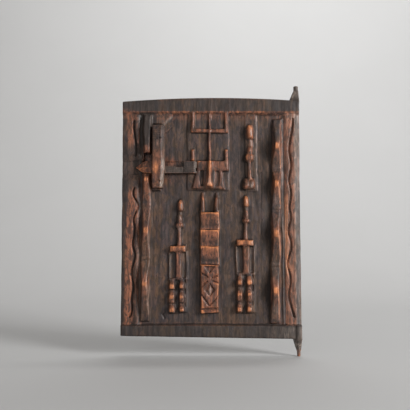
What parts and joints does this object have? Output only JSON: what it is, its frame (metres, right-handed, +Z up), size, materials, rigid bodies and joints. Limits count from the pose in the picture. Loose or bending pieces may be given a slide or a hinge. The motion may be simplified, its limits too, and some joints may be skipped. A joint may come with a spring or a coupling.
{
  "type": "granary door",
  "caption": "Small carved wooden granary door leaf with pivot horns cut from its hinge side and a sliding pin-tumbler bolt lock on its face.",
  "frame": {"origin": "on the pivot axis, at the foot of the lower pivot's round journal", "axes": "+Z up the door along the pivot axis, +X out of the hinge side, -Y out of the carved face"},
  "size_m": [0.196, 0.0286, 0.2985],
  "materials": {
    "carved_wood": "smoke-darkened hardwood, hand-carved, worn reddish on the high edges",
    "lock_wood": "handled hardwood, worn reddish and slightly polished where hands rub",
    "iron": "dark forged iron with old rust"
  },
  "bodies": {
    "leaf": {"door_leaf": "carved_wood", "lock_case": "lock_wood", "upper_case_nail": "iron", "lower_case_nail": "iron"},
    "bolt": {"lock_bolt": "lock_wood"},
    "left_tumbler": {"tumbler_left": "lock_wood"},
    "right_tumbler": {"tumbler_right": "lock_wood"}
  },
  "joints": [
    {"name": "bolt_slide", "type": "slide", "parent": "leaf", "child": "bolt", "axis": [-1, 0, 0], "range_m": [0, 0.02]},
    {"name": "left_tumbler_lift", "type": "slide", "parent": "leaf", "child": "left_tumbler", "axis": [0, 0, 1], "range_m": [0, 0.0014]},
    {"name": "right_tumbler_lift", "type": "slide", "parent": "leaf", "child": "right_tumbler", "axis": [0, 0, 1], "range_m": [0, 0.0014]}
  ]
}
